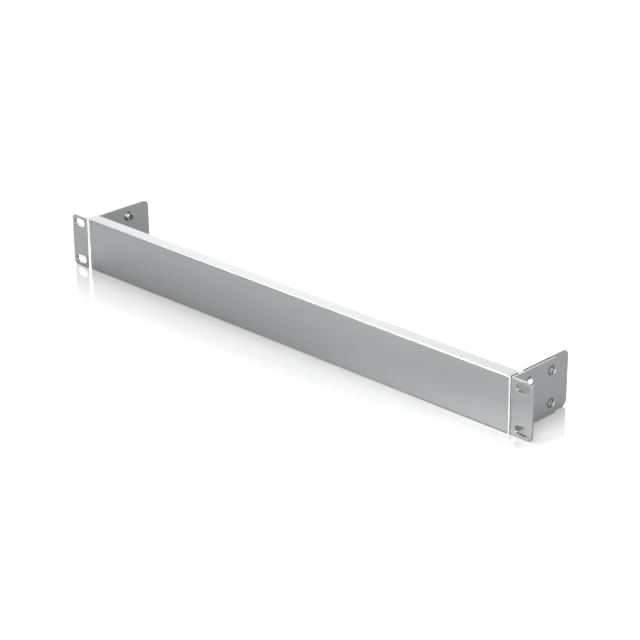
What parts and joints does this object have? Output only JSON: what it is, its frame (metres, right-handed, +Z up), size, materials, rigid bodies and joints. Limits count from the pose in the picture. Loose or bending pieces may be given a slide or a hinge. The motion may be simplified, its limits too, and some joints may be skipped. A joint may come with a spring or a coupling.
{
  "type": "rack blanking panel",
  "caption": "Blanking panel for a 19-inch equipment rack: a shallow folded sheet-metal tray, open at the rear, with a slotted ear bracket screwed to each end.",
  "frame": {"origin": "centre of the four rack slots, on the rear faces of the ears, which bear on the rack's rails", "axes": "+X to the right as seen from the front, +Y back into the rack, +Z up; the front face looks along -Y"},
  "size_m": [0.4826, 0.0637, 0.0436],
  "materials": {
    "panel_sheet": "smooth satin sheet",
    "bracket_plate": "smooth satin plate",
    "screw_steel": "darker plated steel",
    "nut_steel": "bright plated steel"
  },
  "bodies": {
    "root": {"front_panel": "panel_sheet", "left_ear_bracket": "bracket_plate", "right_ear_bracket": "bracket_plate", "left_bracket_screws": "screw_steel", "right_bracket_screws": "screw_steel", "left_clinch_nuts": "nut_steel", "right_clinch_nuts": "nut_steel"}
  },
  "joints": []
}
